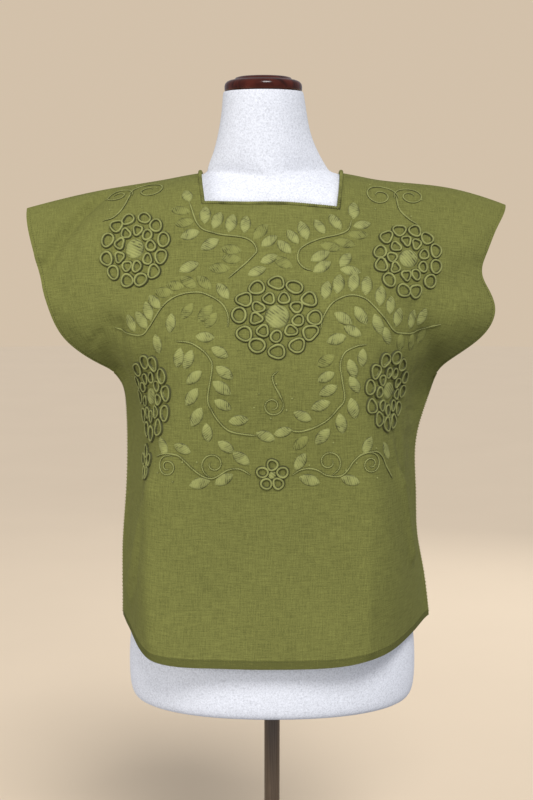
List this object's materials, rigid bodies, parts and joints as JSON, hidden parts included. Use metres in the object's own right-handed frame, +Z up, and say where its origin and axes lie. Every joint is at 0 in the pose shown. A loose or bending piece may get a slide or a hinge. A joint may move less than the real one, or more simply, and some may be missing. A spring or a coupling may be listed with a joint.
{
  "type": "embroidered blouse on a dress form",
  "caption": "Cotton blouse with grown-on cap sleeves, square neck and ring rosette embroidery, worn by a limbless linen dress form on a pole stand.",
  "frame": {"origin": "middle of the foot's underside, on the floor", "axes": "+Z up, the wearer's front faces -Y, +X to the right of someone who looks at the front"},
  "size_m": [0.587, 0.33, 1.1975],
  "materials": {
    "cloth": "olive green plain weave cotton, matt",
    "binding": "olive green whipped cord",
    "thread": "olive green cotton floss, soft sheen",
    "linen": "off-white linen with fine dark flecks",
    "cap": "dark mahogany, high gloss lacquer",
    "steel": "brushed"
  },
  "bodies": {
    "root": {"front_panel": "cloth", "back_panel": "cloth", "neck_binding": "binding", "rosette_middle": "thread", "rosette_upper_left": "thread", "rosette_upper_right": "thread", "rosette_side_left": "thread", "rosette_side_right": "thread", "flower_low_middle": "thread", "flower_low_left": "thread", "form_body": "linen", "neck_cap": "cap", "pole": "steel", "foot": "steel"}
  },
  "joints": []
}
